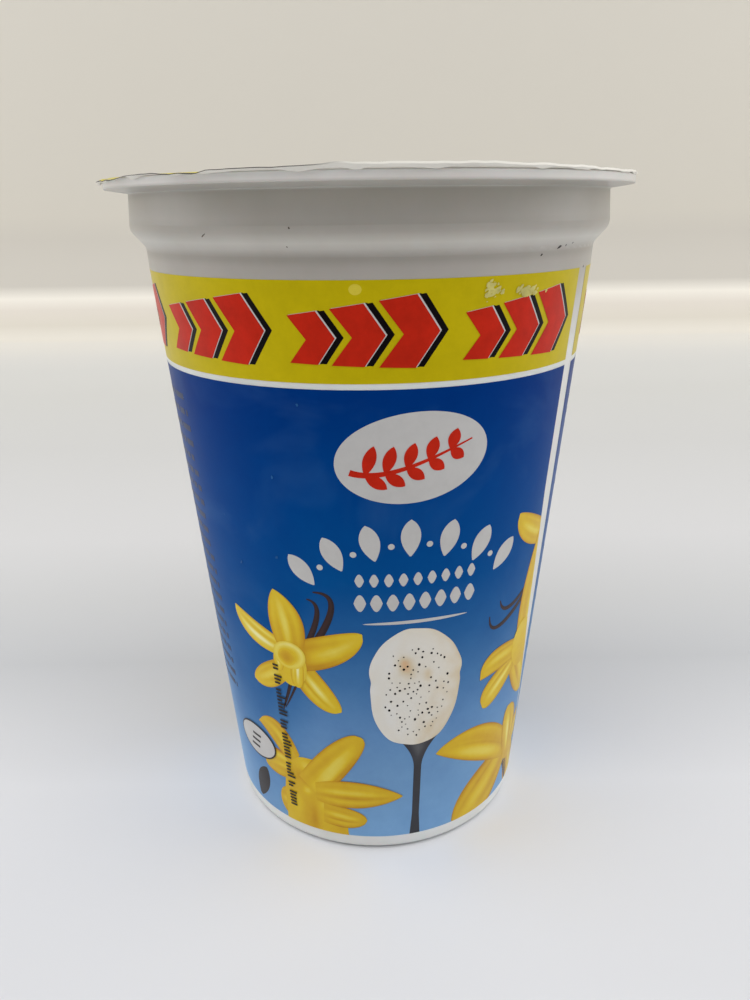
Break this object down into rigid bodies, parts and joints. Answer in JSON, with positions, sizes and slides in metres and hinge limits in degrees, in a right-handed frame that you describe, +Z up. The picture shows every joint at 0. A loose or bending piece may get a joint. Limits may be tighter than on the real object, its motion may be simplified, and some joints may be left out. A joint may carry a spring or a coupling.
{
  "type": "yogurt pot",
  "caption": "Shut conical plastic yogurt pot with a stepped rim, a sealing flange and a heat-sealed foil lid, printed with bands of yellow and blue.",
  "frame": {"origin": "middle of the foot, on the surface that the pot stands on", "axes": "+Z up along the pot's axis, -Y towards the middle of the printed front"},
  "size_m": [0.0966, 0.0966, 0.1283],
  "materials": {
    "white_plastic": "smooth white thermoformed plastic, satin gloss",
    "lid_foil": "printed and lacquered thin aluminium foil",
    "yellow_ink": "yellow print on the wall, satin gloss",
    "blue_ink": "blue print on the wall, fading lighter towards the foot",
    "red_ink": "red print",
    "black_ink": "black print",
    "white_ink": "white print",
    "petal_ink": "shaded yellow flower print",
    "brown_ink": "dark brown print of the pods",
    "cream_ink": "pale speckled print of the spoonful",
    "grey_ink": "dark grey print of the spoon"
  },
  "bodies": {
    "root": {"pot": "white_plastic", "lid": "lid_foil"}
  },
  "joints": []
}
